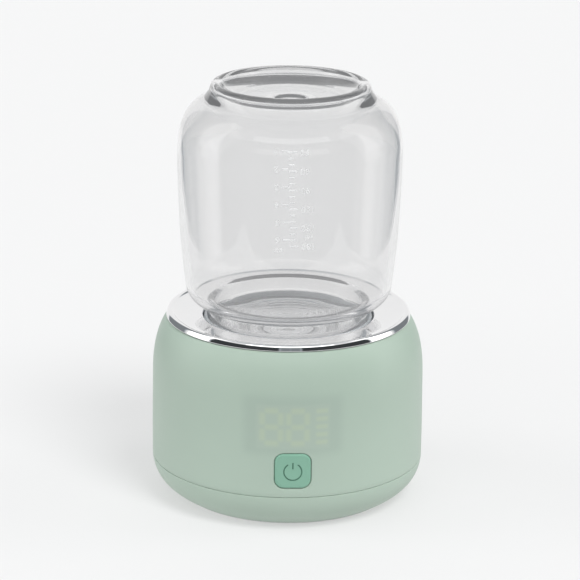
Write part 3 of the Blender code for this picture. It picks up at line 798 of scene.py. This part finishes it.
def make_heating_plate():
    """Inverted steel pan; its top has spun steps like the ridges of a record."""
    face = PLATE_TOP - 0.35
    dip = PLATE_TOP - 0.5
    under = PLATE_TOP - 1.15
    skirt = 57.0
    outline = [(0, PLATE_TOP - 0.55), (1.6, PLATE_TOP - 0.55), (2.0, face)]
    rings = 7
    start, end = 4.0, PLATE_R - 4.0
    for ring in range(rings):
        middle = start + (end - start) * ring / (rings - 1)
        outline += [(middle - 0.5, face), (middle - 0.2, dip), (middle + 0.2, dip), (middle + 0.5, face)]
    outline += [(PLATE_R - 2.4, face), (PLATE_R - 2.0, PLATE_TOP - 0.05)]
    outline += arc((PLATE_R - 1.0, PLATE_TOP - 1.0), 1.0, 90, 0, 8)
    outline += [(PLATE_R, skirt + 0.1), (PLATE_R - 0.1, skirt), (PLATE_R - 0.8, skirt)]
    outline += [(PLATE_R - 0.8, PLATE_TOP - 1.5), (PLATE_R - 1.5, under), (0, under)]
    plate = lathe("heating_plate_visual", outline, STEEL, "warmer_base", segments=192)
    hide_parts("heating_plate")


# ---------------------------------------------------------------- bottle

ARC_CENTRE = (COLLAR_R + 0.2, SHOULDER_Z + SHOULDER_ARC)
TAPER_R = BOTTLE_R - 0.7
TAPER_Z = 100.0


def wall_radius(z):
    """Outer radius of the bottle's straight wall at a height."""
    low_r = ARC_CENTRE[0] + SHOULDER_ARC
    if z < TAPER_Z:
        share = (z - ARC_CENTRE[1]) / (TAPER_Z - ARC_CENTRE[1])
        return low_r + (TAPER_R - low_r) * (1 - (1 - share) ** 1.35)
    share = min(1.0, (z - TAPER_Z) / (WALL_TOP_Z - TAPER_Z))
    return TAPER_R + (BOTTLE_R - TAPER_R) * math.sin(share * math.pi / 2)


def bottle_outside():
    """Outline from the middle of the hollowed base, over the heel ring and down the wall to the mouth."""
    top = BOTTLE_TOP
    outline = [(0, top - 7.0), (2.6, top - 6.98)]
    outline += bezier((4.4, top - 6.9), (5.8, top - 6.7), (5.6, top - 5.9), (7.2, top - 5.75), 8)
    outline += bezier((10.0, top - 5.7), (13.5, top - 5.6), (16.0, top - 5.5), (17.6, top - 5.2), 6)
    outline += bezier((18.4, top - 4.9), (19.6, top - 4.3), (22.2, top - 3.4), (23.6, top - 1.6), 8)
    outline += arc((HEEL_R, top - HEEL_ROUND), HEEL_ROUND, 150, 15, 12)
    outline += bezier((28.1, 145.2), (28.5, 144.2), (29.2, 143.3), (29.9, 142.4), 5)
    outline += bezier((30.5, 142.1), (35.9, 140.0), (BOTTLE_R, 133.8), (BOTTLE_R, WALL_TOP_Z), 28)[1:]
    outline += [(wall_radius(z), z) for z in range(121, 77, -3)]
    outline += arc(ARC_CENTRE, SHOULDER_ARC, 0, -84, 16)
    outline += bezier((COLLAR_R + 0.35, SHOULDER_Z + 0.02), (COLLAR_R, SHOULDER_Z),
                      (COLLAR_R, SHOULDER_Z - 0.2), (COLLAR_R, SHOULDER_Z - 0.6), 4)
    outline += [(COLLAR_R, 65.9), (COLLAR_R - 0.15, 65.6), (NECK_R + 0.2, 65.1), (NECK_R, 64.8)]
    for crest in THREAD_CRESTS:
        flank = THREAD_R - 0.3
        outline += [(NECK_R, crest + 1.1), (flank, crest + 0.5), (THREAD_R, crest + 0.15)]
        outline += [(THREAD_R, crest - 0.15), (flank, crest - 0.5), (NECK_R, crest - 1.1)]
    return outline + [(NECK_R, MOUTH_Z + 0.5), (NECK_R - 0.15, MOUTH_Z + 0.15), (NECK_R - 0.5, MOUTH_Z)]


def bottle_inside():
    """Outline from the mouth up the bore and wall, into the hollow heel ring and to the base's middle."""
    outline = [(NECK_BORE + 0.4, MOUTH_Z), (NECK_BORE + 0.1, MOUTH_Z + 0.15), (NECK_BORE, MOUTH_Z + 0.5)]
    outline += [(NECK_BORE, 60.0), (NECK_BORE, 64.0)]
    inner_shoulder = SHOULDER_Z + GLASS
    outline += bezier((NECK_BORE, 67.0), (NECK_BORE, 70.2), (NECK_BORE + 0.8, inner_shoulder),
                      (ARC_CENTRE[0], inner_shoulder), 10)
    outline += arc(ARC_CENTRE, SHOULDER_ARC - GLASS, -84, 0, 14)
    outline += [(wall_radius(z) - GLASS, z) for z in range(80, 124, 3)]
    wall = BOTTLE_R - GLASS
    outline += bezier((wall, WALL_TOP_Z), (wall, 131.4), (33.4, 137.0), (27.2, 139.9), 20)
    outline += bezier((26.9, 141.4), (26.8, 143.0), (26.7, 146.0), (HEEL_R, 146.0), 6)
    outline += bezier((25.0, 145.9), (24.6, 143.4), (22.5, 141.6), (18.0, 140.7), 8)
    outline += bezier((14.0, 140.4), (9.0, 140.2), (5.0, 139.6), (0, 139.4), 6)
    return outline


def make_bottle():
    outline = bottle_outside() + bottle_inside()
    bottle = lathe("bottle_glass", outline, GLASS_CLEAR, "bottle", segments=256, sharp=0)
    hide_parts("glass_bottle")


MARK_LEAN = -0.025
MARK_PROUD = 0.16
ML_LOWEST = 100.2
ML_PITCH = 6.54
OZ_LOWEST = 102.5
OZ_PITCH = 6.14
BAR_HEIGHT = 0.55
LABEL_SIZE = 2.9
UNIT_SIZE = 2.6
LABEL_SINK = 0.05


def on_wall(across, z, proud):
    """Point on the bottle's front wall, at an arc length right of the middle; the columns lean a little."""
    radius = wall_radius(z)
    turn = math.radians(-90) + (across + (z - ML_LOWEST) * MARK_LEAN) / radius
    radius += proud
    return Vector((radius * math.cos(turn), radius * math.sin(turn), z)) * MM


def mark_bar(shape, left, right, z, height):
    """A raised bar with a softened top."""
    steps = 6
    section = ((-0.5, -0.3), (-0.42, 0.75), (-0.2, 1.0), (0.2, 1.0), (0.42, 0.75), (0.5, -0.3))
    columns = []
    for step in range(steps + 1):
        share = step / steps
        ends = 0.8 if step in (0, steps) else 1.0
        across = left + (right - left) * share
        columns.append([shape.verts.new(on_wall(across, z + dz * height * ends, MARK_PROUD * up * ends))
                        for dz, up in section])
    for first, second in zip(columns, columns[1:]):
        for i in range(len(section)):
            j = (i + 1) % len(section)
            shape.faces.new((first[i], first[j], second[j], second[i]))
    shape.faces.new(columns[0])
    shape.faces.new(list(reversed(columns[-1])))


def add_label(shape, text, across, z, size):
    """Raised characters that read the right way up when the bottle stands on its base."""
    data = bpy.data.curves.new("label", "FONT")
    data.body = text
    data.size = size
    data.align_x = "CENTER"
    data.align_y = "CENTER"
    data.extrude = 0.5
    data.offset = 0.02
    data.resolution_u = 3
    data.space_character = 1.12
    label = bpy.data.objects.new("label", data)
    bpy.context.scene.collection.objects.link(label)
    graph = bpy.context.evaluated_depsgraph_get()
    mesh = bpy.data.meshes.new_from_object(label.evaluated_get(graph))
    start = len(shape.verts)
    shape.from_mesh(mesh)
    shape.verts.ensure_lookup_table()
    for vertex in shape.verts[start:]:
        u, v, depth = vertex.co
        vertex.co = on_wall(across - u, z - v, MARK_PROUD if depth > 0 else -LABEL_SINK)
    bpy.data.objects.remove(label)
    bpy.data.meshes.remove(mesh)


def make_marks():
    """Raised millilitre marks on the right and ounce marks on the left."""
    shape = bmesh.new()
    for step in range(16):
        right = 1.35 if step % 3 == 0 else 0.55
        mark_bar(shape, -1.25, right, ML_LOWEST + step * ML_PITCH / 3, BAR_HEIGHT)
    for step in range(6):
        level = ML_LOWEST + step * ML_PITCH
        text = str(180 - 30 * step)
        add_label(shape, text, 4.9 if len(text) == 3 else 4.1, level, LABEL_SIZE)
        level = OZ_LOWEST + step * OZ_PITCH
        mark_bar(shape, -3.75, -1.35, level, BAR_HEIGHT)
        add_label(shape, str(6 - step), -5.5, level, LABEL_SIZE)
    add_label(shape, "oz", -5.2, ML_LOWEST - 1.6, LABEL_SIZE)
    add_label(shape, "ml", 5.0, ML_LOWEST + ML_PITCH / 2, UNIT_SIZE)
    bmesh.ops.remove_doubles(shape, verts=shape.verts, dist=1e-7)
    marks = finish_mesh("volume_marks", shape, MARKS, "bottle", sharp=40.0)


# ---------------------------------------------------------------- stage

# linear brightness: of the backdrop as seen, the least that glass sees, and the floor's own glow
PALE = 0.9216
THROUGH_GLASS = 0.45
FLOOR_GLOW = 0.47


def floor_paint():
    """Pale sweep that glows a little, so that shadows on it stay light."""
    material, graph, shader = new_material(
        "floor_paint", Roughness=0.9, Specular_IOR_Level=0.0, Emission_Color=(1.0, 1.0, 1.0),
        Emission_Strength=FLOOR_GLOW)
    cloud = graph.noise(2.0, 2.0)
    graph.feed(shader.inputs["Base Color"], graph.mix(cloud, (0.355, 0.355, 0.355), (0.36, 0.36, 0.36)))
    return material


def make_floor():
    """A strip of sweep that runs back from just in front of the object."""
    shape = bmesh.new()
    half = 0.5
    bmesh.ops.create_grid(shape, x_segments=4, y_segments=16, size=half)
    width, front, back = 0.5, -0.22, 1.6
    for vertex in shape.verts:
        vertex.co.x *= width
        vertex.co.y = front + (vertex.co.y + half) * (back - front)
    floor = finish_mesh("floor", shape, floor_paint(), None)


# the studio as its reflections see it
PANELS = (
    # azimuth off the front from and to, elevation from and to, soft edge (degrees), brightness
    (10, 79, -91, 31, 3, 0.05),
    (-1, 10, -91, 31, 4, 0.25),
    (112, 150, -91, 50, 6, 0.25),
    (81, 108, 0, 56, 2, 1.9),
    (84, 97, -70, 1, 3, 1.25),
    (-1, 46, 33, 45, 2, 2.6),
)


def make_world():
    """A bright backdrop with dark gaps, tall soft boxes at both sides and a long one high in front."""
    world = bpy.data.worlds.new("studio")
    bpy.context.scene.world = world
    world.use_nodes = True
    graph = Graph(world.node_tree)
    background = world.node_tree.nodes["Background"]
    way = graph.add("ShaderNodeSeparateXYZ")
    graph.feed(way.inputs[0], graph.add("ShaderNodeTexCoord").outputs["Generated"])
    x, y, z = way.outputs
    around = graph.math("ABSOLUTE", graph.math("ARCTAN2", x, graph.math("MULTIPLY", y, -1.0)))
    up = graph.math("ARCSINE", z)
    level = graph.ramp(up, math.radians(40), math.radians(70), 0.95, 0.6)
    for start, end, low, high, soft, value in PANELS:
        mask = 1.0
        for angle, first, last in ((around, start, end), (up, low, high)):
            for edge, side in ((first, -1), (last, 1)):
                inside = math.radians(edge - side * soft / 2)
                outside = math.radians(edge + side * soft / 2)
                mask = graph.math("MULTIPLY", graph.ramp(angle, outside, inside), mask)
        level = graph.math("MULTIPLY_ADD", graph.math("SUBTRACT", value, level), mask, level)
    path = graph.add("ShaderNodeLightPath")
    lifted = graph.math("MAXIMUM", level, THROUGH_GLASS)
    through = path.outputs["Is Transmission Ray"]
    level = graph.math("MULTIPLY_ADD", graph.math("SUBTRACT", lifted, level), through, level)
    seen = path.outputs["Is Camera Ray"]
    strength = graph.math("MULTIPLY_ADD", seen, graph.math("SUBTRACT", PALE, level), level)
    tint = graph.mix(graph.ramp(strength, THROUGH_GLASS, 0.85), (0.88, 0.95, 1.0), (1.0, 1.0, 1.0))
    graph.feed(background.inputs["Color"], tint)
    graph.feed(background.inputs["Strength"], strength)


def make_sun(name, towards, energy, spread, shadow):
    data = bpy.data.lights.new(name, "SUN")
    data.energy = energy
    data.angle = math.radians(spread)
    data.use_shadow = shadow
    sun = bpy.data.objects.new(name, data)
    sun.rotation_euler = Vector(towards).to_track_quat("Z", "Y").to_euler()
    sun.visible_glossy = False
    sun.visible_transmission = False
    bpy.context.scene.collection.objects.link(sun)


def make_light():
    """The world, then each sun: direction, strength, angular size in degrees and whether it casts shadows."""
    make_world()
    make_sun("key", (0.42, -0.66, 1.0), 1.65, 24, True)
    make_sun("fill", (-0.8, -0.4, 0.3), 0.5, 60, False)


def make_camera():
    distance = 0.95
    elevation = math.radians(17.29)
    azimuth = math.radians(-2.5)
    roll = math.radians(0.6)
    aside = 0.0005
    look = Vector((0, 0, 0.073))
    back = Vector((math.sin(azimuth) * math.cos(elevation), -math.cos(azimuth) * math.cos(elevation),
                   math.sin(elevation)))
    right = Vector((math.cos(azimuth), math.sin(azimuth), 0))
    data = bpy.data.cameras.new("camera")
    data.sensor_width = 36.0
    data.lens = 167.6
    data.clip_start = 0.01
    data.dof.use_dof = False
    camera = bpy.data.objects.new("camera", data)
    turn = back.to_track_quat("Z", "Y").to_matrix() @ Matrix.Rotation(roll, 3, "Z")
    camera.matrix_world = Matrix.Translation(look + right * aside + back * distance) @ turn.to_4x4()
    bpy.context.scene.collection.objects.link(camera)
    bpy.context.scene.camera = camera


make_housing()
make_base_cover()
make_foot()
make_top_plate()
make_button()
make_well()
make_adapter()
make_heating_plate()
make_bottle()
make_marks()
make_floor()
make_light()
make_camera()
bpy.context.scene.view_settings.view_transform = "Standard"
